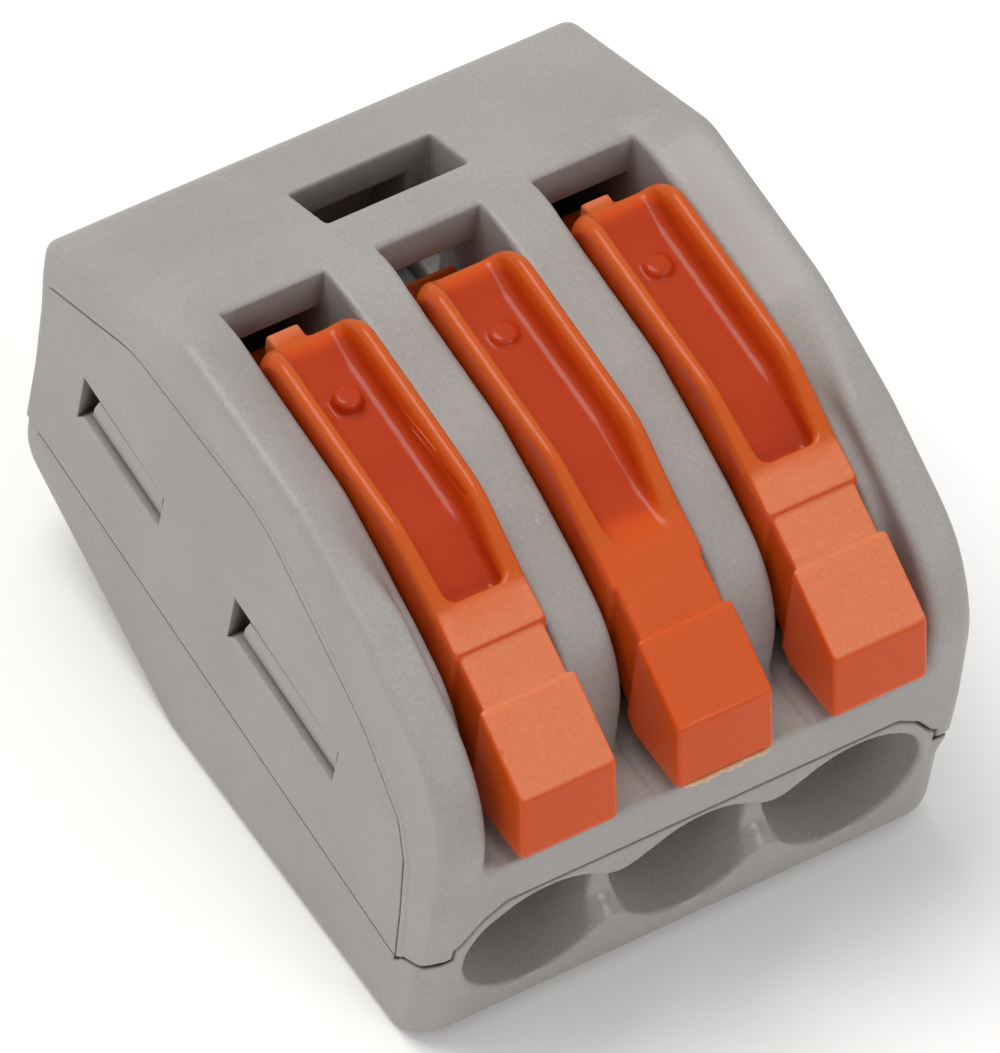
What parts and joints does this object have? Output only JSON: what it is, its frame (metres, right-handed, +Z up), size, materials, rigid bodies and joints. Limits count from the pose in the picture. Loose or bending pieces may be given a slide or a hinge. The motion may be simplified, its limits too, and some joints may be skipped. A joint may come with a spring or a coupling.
{
  "type": "lever wire connector",
  "caption": "Lever wire connector: swing-up levers open cage clamps in a split housing with round wire entries and a shared busbar.",
  "frame": {"origin": "on the flat underside, midway across the width and midway between the front and back of the housing", "axes": "+X along the row of levers, +Y from the wire entries towards the back, +Z up out of the levers' side"},
  "size_m": [0.0162, 0.0212, 0.0145],
  "materials": {
    "housing_plastic": "fine moulded texture, warm grey",
    "base_plastic": "fine moulded texture, warm grey",
    "lever_plastic": "glossy orange, slightly translucent",
    "spring_steel": "rolled stainless spring strip",
    "busbar_metal": "tin-plated copper"
  },
  "bodies": {
    "body": {"upper_housing": "housing_plastic", "base_cover": "base_plastic", "busbar": "busbar_metal", "clamp_spring_left": "spring_steel", "clamp_spring_middle": "spring_steel", "clamp_spring_right": "spring_steel"},
    "lever_left": {"lever_left": "lever_plastic"},
    "cage_left": {"clamp_cage_left": "spring_steel"},
    "lever_middle": {"lever_middle": "lever_plastic"},
    "cage_middle": {"clamp_cage_middle": "spring_steel"},
    "lever_right": {"lever_right": "lever_plastic"},
    "cage_right": {"clamp_cage_right": "spring_steel"}
  },
  "joints": [
    {"name": "lever_left_swing", "type": "hinge", "parent": "body", "child": "lever_left", "pos_m": [-0.0047, 0.0012, 0.01156], "axis": [-1, 0, 0], "range_deg": [0, 85]},
    {"name": "cage_left_press", "type": "hinge", "parent": "body", "child": "cage_left", "pos_m": [-0.0047, 0.0069, 0.00709], "axis": [1, 0, 0], "range_deg": [0, 15]},
    {"name": "lever_middle_swing", "type": "hinge", "parent": "body", "child": "lever_middle", "pos_m": [0, 0.0012, 0.01156], "axis": [-1, 0, 0], "range_deg": [0, 85]},
    {"name": "cage_middle_press", "type": "hinge", "parent": "body", "child": "cage_middle", "pos_m": [0, 0.0069, 0.00709], "axis": [1, 0, 0], "range_deg": [0, 15]},
    {"name": "lever_right_swing", "type": "hinge", "parent": "body", "child": "lever_right", "pos_m": [0.0047, 0.0012, 0.01156], "axis": [-1, 0, 0], "range_deg": [0, 85]},
    {"name": "cage_right_press", "type": "hinge", "parent": "body", "child": "cage_right", "pos_m": [0.0047, 0.0069, 0.00709], "axis": [1, 0, 0], "range_deg": [0, 15]}
  ],
  "couplings": [
    {"joint": "cage_left_press", "follows": "lever_left_swing", "ratio": 0.175},
    {"joint": "cage_middle_press", "follows": "lever_middle_swing", "ratio": 0.175},
    {"joint": "cage_right_press", "follows": "lever_right_swing", "ratio": 0.175}
  ]
}
